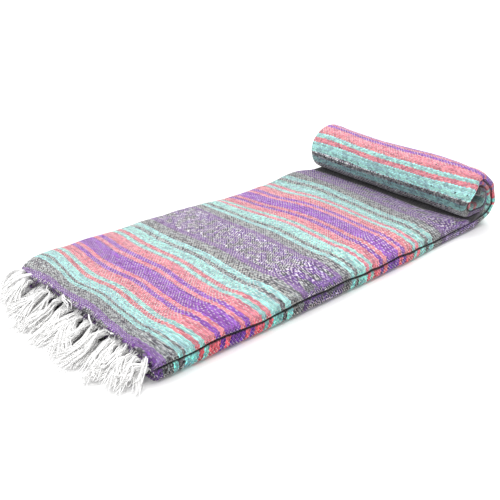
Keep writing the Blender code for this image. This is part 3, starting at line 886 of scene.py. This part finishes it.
def weaveGroup():
    # plain weave: thick weft picks swell where they float over the warp, in brick bond, and the
    # thin warp shows where it crosses over them
    group, n, inside, outside = newGroup(
        "plainWeave",
        [("Place", "NodeSocketVector"), ("Pick", "NodeSocketFloat"), ("Float", "NodeSocketFloat")],
        [("Height", "NodeSocketFloat"), ("Pit", "NodeSocketFloat"), ("Warp", "NodeSocketFloat"),
         ("Chance", "NodeSocketFloat"), ("Other", "NodeSocketFloat"), ("RowChance", "NodeSocketFloat"),
         ("Row", "NodeSocketFloat"), ("Along", "NodeSocketFloat"), ("Middle", "NodeSocketFloat")])
    place, pick = inside["Place"], inside["Pick"]
    weftwise = n.axis(place, 1)
    drift = n.times(n.math("SUBTRACT", n.grain(place, 170.0, 1.0), 0.5), 1.1)
    nominal = n.math("ADD", n.math("DIVIDE", n.axis(place, 0), pick), drift)
    lengthwise = n.timesPlus(drift, 0.3, n.math("DIVIDE", weftwise, inside["Float"]))
    swell = n.times(n.math("COSINE", n.times(lengthwise, 2 * math.pi)),
                    n.math("COSINE", n.times(nominal, math.pi)))
    picks = n.timesPlus(swell, -0.20, nominal)
    row = n.math("FLOOR", picks)
    # each float starts half its length on from those in the rows beside it
    odd = n.times(n.math("MODULO", n.math("ABSOLUTE", row), 2.0), 0.5)
    floats = n.math("ADD", lengthwise, odd)
    cell = n.add("ShaderNodeCombineXYZ", {0: row, 1: n.math("FLOOR", floats)}).outputs[0]
    dice = n.add("ShaderNodeTexWhiteNoise", {"Vector": cell}, noise_dimensions="2D")
    # how far off the middle of the pick and of the float
    offPick = n.math("ABSOLUTE", n.math("SUBTRACT", n.math("FRACT", picks), 0.5))
    offFloat = n.math("ABSOLUTE", n.math("SUBTRACT", n.math("FRACT", floats), 0.5))
    pickHump = n.math("SUBTRACT", 1.0, n.math("POWER", n.times(offPick, 2.0), 2.6))
    floatHump = n.math("SUBTRACT", 1.0, n.math("POWER", n.times(offFloat, 2.0), 3.0))
    bulk = n.timesPlus(n.grain(place, 55.0, 2.0), 0.5, 0.75)
    results = {
        "Height": n.times(pickHump, n.timesPlus(floatHump, 0.55, 0.45), bulk),
        "Pit": n.times(n.remap(offPick, 0.30, 0.50), n.remap(offFloat, 0.10, 0.45, 0.45, 1.0)),
        "Warp": n.times(n.remap(offFloat, 0.34, 0.40), n.remap(offPick, 0.50, 0.42)),
        "Chance": dice.outputs[0],
        "Other": n.add("ShaderNodeSeparateColor", {0: dice.outputs[1]}).outputs[1],
        "RowChance": n.add("ShaderNodeTexWhiteNoise", {"W": row}, noise_dimensions="1D").outputs[0],
        "Row": row,
        "Along": weftwise,
        "Middle": n.times(n.math("ADD", row, 0.5), pick),
    }
    for key, socket in results.items():
        n.join(socket, outside[key])
    return group


def stripeGroup():
    # the colour of the stripe at a place on the chart, and masks for its heather and marled yarns
    group, n, inside, outside = newGroup(
        "serapeStripes", [("Middle", "NodeSocketFloat")],
        [("Color", "NodeSocketColor"), ("Heather", "NodeSocketFloat"), ("Marl", "NodeSocketFloat")])
    folded = n.math("DIVIDE", n.math("PINGPONG", inside["Middle"], halfRepeat), halfRepeat)
    for key, masked in (("Color", None), ("Heather", "grey"), ("Marl", "lilac")):
        ramp = n.add("ShaderNodeValToRGB", {0: folded})
        ramp.color_ramp.interpolation = "CONSTANT"
        stops = ramp.color_ramp.elements
        start = 0.0
        for number, (end, name) in enumerate(stripeChart):
            stop = stops[number] if number < 2 else stops.new(start / halfRepeat)
            stop.position = start / halfRepeat
            stop.color = (float(name == masked),) * 3 + (1.0,) if masked else yarn[name]
            start = end
        n.join(ramp.outputs[0], outside[key])
    return group


clothFinish = {
    "pick": 0.0023,          # height of a row of weft
    "float": 0.0052,         # length of one of its floats
    "relief": 0.0010,
    "surface": {"Roughness": 0.92, "Specular IOR Level": 0.25,
                "Sheen Weight": 0.25, "Sheen Roughness": 0.45},
}
# painted light and shade of each piece. lit: how far the near fold is in the painted light down to the
# parting, and how much the flat is painted darker towards the roll,
# shade: how light the piece is painted, dark for the end tucked inside the roll; nook: where on the chart it
# lies against the roll, with a painted contact shadow there
piecePaintedLight = {
    "lowerLeaf": {"name": "wovenSerape", "lit": 0.0, "shade": 1.0, "nook": 0.6985},
    "upperLeaf": {"name": "wovenSerapeTop", "lit": 1.0, "shade": 1.0, "nook": 0.4490},
    "tuckedEnd": {"name": "wovenSerapeTucked", "lit": 0.0, "shade": 0.34, "nook": 2.0},
}


def heatherYarn(n, spot, web):
    # grey with paler and darker fibres through it
    heather = n.blend(n.remap(web["Chance"], 0.10, 0.90), yarn["heatherDark"], yarn["heatherPale"])
    heather = n.blend(n.remap(spot["fibre"], 0.38, 0.50, 0.5, 0.0), heather, yarn["fibreDark"])
    return n.blend(n.remap(spot["fibre"], 0.52, 0.62, 0.0, 0.5), heather, yarn["fibrePale"])


def marlYarn(n, spot, web):
    # a yarn of several plies, whose colours line up from row to row in short slanting streaks
    along = spot["along"]
    phase = n.timesPlus(web["Along"], 245.0, n.times(web["Row"], -0.29))
    turn = n.math("PINGPONG", n.math("ADD", n.grain(spot["place"], 260.0, 0.0), phase), 0.5)
    patch = n.math("ADD", n.grain(spot["place"], 75.0, 1.0), n.remap(along, 0.36, 0.40, 0.01, 0.06))
    ash = n.blend(n.remap(spot["fibre"], 0.35, 0.65), yarn["ashDark"], yarn["ashPale"])
    ply = n.blend(n.remap(patch, 0.45, 0.53), ash, yarn["lilac"])
    slant = n.times(n.remap(spot["facing"], 0.30, 0.52, 0.30, 1.0), n.remap(along, 0.36, 0.42, 1.0, 0.55))
    caught = n.times(n.remap(turn, 0.30, 0.34), n.remap(web["Other"], 0.42, 0.46), slant)
    marl = n.blend(caught, ply, yarn["marlPale"])
    return n.blend(n.times(n.remap(turn, 0.17, 0.10, 0.0, 0.85), slant), marl, yarn["marlDark"])


def unevenYarn(n, spot, web, base):
    # every float and every pick is a little lighter or darker, and so are the slubs in the yarn
    tone = n.timesPlus(web["RowChance"], 0.20, n.timesPlus(web["Chance"], 0.50, 0.63))
    stretch = n.add("ShaderNodeVectorMath", {0: spot["place"], 1: (420.0, 320.0, 0.0)}, operation="MULTIPLY")
    tone = n.times(tone, n.remap(n.grain(stretch.outputs[0], 1.0, 1.0), 0.25, 0.75, 0.78, 1.24))
    tints = [n.times(tone, n.remap(web[key], 0.0, 1.0, 1 - size, 1 + size))
             for key, size in (("Other", 0.04), ("Chance", 0.07), ("RowChance", 0.05))]
    tint = n.add("ShaderNodeCombineColor", dict(enumerate(tints))).outputs[0]
    return n.blend(1.0, base, tint, "MULTIPLY")


def openWeave(n, spot, web, base):
    # painted shade in the pits between the floats, which shows less where the cloth is seen straight on
    facing = spot["facing"]
    shadedPits = n.blend(1.0, base, yarn["pitShade"], "MULTIPLY")
    base = n.blend(n.times(web["Pit"], n.remap(facing, 0.28, 0.50, 0.62, 0.95)), base, shadedPits)
    # the white warp between the floats
    shown = n.times(n.math("LESS_THAN", web["Other"], 0.68), n.remap(facing, 0.25, 0.50, 0.22, 1.0))
    base = n.blend(n.times(web["Warp"], shown), base, yarn["warp"])
    # dark neps caught in the yarn
    neps = n.add("ShaderNodeTexVoronoi", {"Vector": spot["place"], "Scale": 95.0}, feature="F1")
    rare = n.add("ShaderNodeSeparateColor", {0: neps.outputs[1]}).outputs[0]
    dark = n.times(n.remap(neps.outputs[0], 0.16, 0.08), n.math("GREATER_THAN", rare, 0.90), 0.9)
    return n.blend(dark, base, yarn["nep"])


def paintedLightDepth(n, spot, lightPaint):
    # painted light and shade: faces turned up are paler, as if lit from above. Faces turned aside or down
    # are deeper and darker, as if in shade, and so are the lower leaf under the upper one's overhang and the
    # near fold past its lit part. The roll gets less of this
    upward, off = spot["upward"], spot["offParting"]
    nearFold = n.times(n.remap(off, 0.0040, 0.0100, 0.0, lightPaint["lit"]), n.remap(off, 0.10, 0.07),
                       n.remap(spot["along"], 0.47, 0.50, 1.0, 0.0))
    paintedTopLight = n.math("MAXIMUM", n.remap(upward, 0.05, 0.55), nearFold)
    depth = n.math("ADD", n.timesPlus(paintedTopLight, -0.65, 1.65), n.remap(upward, 0.05, -0.7, 0.1, 0.3))
    depth = n.timesPlus(n.times(spot["rolled"], n.remap(upward, 0.60, 0.0)), -0.60, depth)
    depth = n.math("ADD", depth, n.remap(off, 0.020, 0.014, 0.0, 0.5 * (1 - lightPaint["lit"])))
    # the painted shade is left off the underside, which is as pale as the top
    return n.timesPlus(n.remap(upward, -0.78, -0.96), n.math("SUBTRACT", 1.0, depth), depth)


def clothShade(n, spot, heather, lightPaint):
    # painted shade and light: a dark groove between the leaves, the flat a little darker towards the roll, a
    # painted contact shadow in its nook with painted light on the flat just before it, the grey and the
    # downward-facing part of the roll painted lighter, painted shade at the cloth's cut end, and the piece's
    # own painted shade over it all
    along, off, rolled = spot["along"], spot["offParting"], spot["rolled"]
    lit, shade, nook = lightPaint["lit"], lightPaint["shade"], lightPaint["nook"]
    inward = n.math("SUBTRACT", along, n.remap(off, 0.016, 0.090, 0.0150 * lit, 0.0))
    outside = n.math("MAXIMUM", n.remap(inward, nook - 0.0030, nook + 0.0005, 1.0, 0.03),
                     n.remap(along, nook + 0.030, nook + 0.060, 0.0, 0.95))
    below = n.times(rolled, n.remap(spot["upward"], 0.30, -0.35))
    return n.times(
        # painted shade in the groove between the leaves
        n.remap(off, 0.0032, 0.0016, 1.0, 0.08),
        # the piece's painted shade, with the flat painted darker towards the roll
        n.remap(along, 0.330, 0.392, shade, shade * (1 - 0.26 * lit)),
        # painted contact shadow in the nook against the roll
        outside,
        # painted light on the flat just before the nook
        n.remap(inward, nook - 0.020, nook - 0.006, 1.0, 1.0 + 0.25 * lit),
        # painted light on the grey stripe in the roll
        n.timesPlus(n.times(rolled, heather), 0.45, 1.0),
        # painted light on the roll's downward-facing part
        n.timesPlus(below, 0.8, 1.0),
        # painted shade at the cloth's cut end
        n.remap(along, -0.1210, -0.1160, 0.15, 1.0))


def clothMaterial(weave, stripes, lightPaint):
    material, n, shader = newMaterial(lightPaint["name"], clothFinish["surface"])
    place = n.add("ShaderNodeUVMap", uv_map="stripes").outputs[0]
    web = n.add("ShaderNodeGroup", {"Place": place, "Pick": clothFinish["pick"],
                                    "Float": clothFinish["float"]}, node_tree=weave).outputs
    bands = n.add("ShaderNodeGroup", {"Middle": web["Middle"]}, node_tree=stripes).outputs
    along = n.axis(place, 0)
    # where a spot of the cloth lies, how it is turned and the fibres it has
    spot = {
        "place": place,
        "along": along,
        "facing": n.add("ShaderNodeLayerWeight", {"Blend": 0.5}).outputs["Facing"],
        "upward": n.axis(n.add("ShaderNodeNewGeometry").outputs["Normal"], 2),
        "offParting": n.math("ABSOLUTE", n.math("SUBTRACT", web["Along"], partingCut + cloth["parting"])),
        "rolled": n.remap(along, 0.585, 0.620),
        "fibre": n.grain(place, 380.0, 2.0),
    }
    base = n.blend(bands["Heather"], bands["Color"], heatherYarn(n, spot, web))
    base = n.blend(bands["Marl"], base, marlYarn(n, spot, web))
    base = unevenYarn(n, spot, web, base)
    base = openWeave(n, spot, web, base)
    # painted light and shade: the gamma deepens and darkens faces turned aside or down, and the light factor
    # brightens or darkens the colour
    depth = paintedLightDepth(n, spot, lightPaint)
    base = n.add("ShaderNodeGamma", {0: base, 1: depth}).outputs[0]
    light = n.times(n.timesPlus(depth, 0.40, 0.60), clothShade(n, spot, bands["Heather"], lightPaint))
    light = n.add("ShaderNodeCombineColor", {0: light, 1: light, 2: light}).outputs[0]
    n.join(n.blend(1.0, base, light, "MULTIPLY"), shader.inputs["Base Color"])
    relief = n.timesPlus(n.grain(place, 900.0, 3.0), 0.25, web["Height"])
    bump = n.add("ShaderNodeBump", {"Height": relief, "Strength": 0.8, "Distance": clothFinish["relief"]})
    n.join(bump.outputs[0], shader.inputs["Normal"])
    return material


cottonFinish = {
    "dark": colour(250, 249, 248), "pale": colour(255, 255, 254),
    "grain": 1400.0, "relief": 0.0005,
    "surface": {"Roughness": 0.9, "Specular IOR Level": 0.2, "Sheen Weight": 0.1, "Subsurface Weight": 0.6,
                "Subsurface Radius": (1.0, 1.0, 1.0), "Subsurface Scale": 0.004},
}


def cottonMaterial():
    material, n, shader = newMaterial("cottonYarn", cottonFinish["surface"])
    ply = n.grain(n.add("ShaderNodeTexCoord").outputs["Object"], cottonFinish["grain"], 2.0)
    shade = n.blend(n.remap(ply, 0.3, 0.7), cottonFinish["dark"], cottonFinish["pale"])
    n.join(shade, shader.inputs["Base Color"])
    bump = n.add("ShaderNodeBump", {"Height": ply, "Strength": 0.6, "Distance": cottonFinish["relief"]})
    n.join(bump.outputs[0], shader.inputs["Normal"])
    return material


studio = {
    "viewer": (-0.3893, -0.5933, 0.5027),    # from the upper leaf's end on the near side
    "heading": 48.403, "dip": 25.826, "lens": 57.08,
    "floor": 16.0,           # from side to side
    "floorSurface": {"Base Color": colour(246, 246, 246), "Roughness": 0.9},
    "lamps": {"key": ((0.35, 0.25, 1.2), 3.1, 60.0), "side": ((-1.0, -0.6, 0.6), 1.4, 60.0)},
    "room": 0.45,            # how bright the room is as the cloth's light; it looks white
}


def makeStudio():
    camera = bpy.data.objects.new("camera", bpy.data.cameras.new("camera"))
    bpy.context.scene.collection.objects.link(camera)
    x, y, z = studio["viewer"]
    camera.location = (x - strip["middleAlong"], y - strip["middleAcross"], z)
    heading, dip = math.radians(studio["heading"]), math.radians(studio["dip"])
    look = Vector((math.cos(heading) * math.cos(dip), math.sin(heading) * math.cos(dip), -math.sin(dip)))
    camera.rotation_euler = look.to_track_quat("-Z", "Y").to_euler()
    camera.data.lens = studio["lens"]
    camera.data.clip_start = 0.01
    bpy.context.scene.camera = camera

    work = bmesh.new()
    bmesh.ops.create_grid(work, x_segments=1, y_segments=1, size=studio["floor"] / 2)
    floor = pieceFrom(work, "floor")
    floor.data.materials.append(newMaterial("paleFloor", studio["floorSurface"])[0])

    world = bpy.data.worlds.new("studio")
    world.use_nodes = True
    n = Nodes(world.node_tree)
    seen = n.add("ShaderNodeLightPath").outputs["Is Camera Ray"]
    backdrop = world.node_tree.nodes["Background"]
    n.join((1.0, 1.0, 1.0, 1.0), backdrop.inputs[0])
    n.join(n.timesPlus(seen, 1 - studio["room"], studio["room"]), backdrop.inputs[1])
    bpy.context.scene.world = world
    for name, (place, strength, angle) in studio["lamps"].items():
        lamp = bpy.data.objects.new(name, bpy.data.lights.new(name, "SUN"))
        lamp.data.energy = strength
        lamp.data.angle = math.radians(angle)
        lamp.location = place
        lamp.rotation_euler = (-Vector(place)).to_track_quat("-Z", "Y").to_euler()
        bpy.context.scene.collection.objects.link(lamp)
    bpy.context.scene.view_settings.view_transform = "Standard"


makeStudio()
print("studio made")
lowerLeaf, tuckStart = makeLeaf("lowerLeaf", ("lower_leaf_flat", "lower_leaf_roll"), lowerChart)
upperLeaf = makeLeaf("upperLeaf", ("upper_leaf_flat", "upper_leaf_roll"), upperChart)[0]
tuckedEnd = makeTuck(tuckStart)
print("cloth made")
weave, stripes = weaveGroup(), stripeGroup()
for piece in (lowerLeaf, upperLeaf, tuckedEnd):
    piece.data.materials.append(clothMaterial(weave, stripes, piecePaintedLight[piece.name]))
print("cloth finished")
cotton = cottonMaterial()
strand = strandTemplate()
for name, row in fringeRows.items():
    makeFringe(name, row, strand).data.materials.append(cotton)
bpy.data.meshes.remove(strand)
print("fringe made")
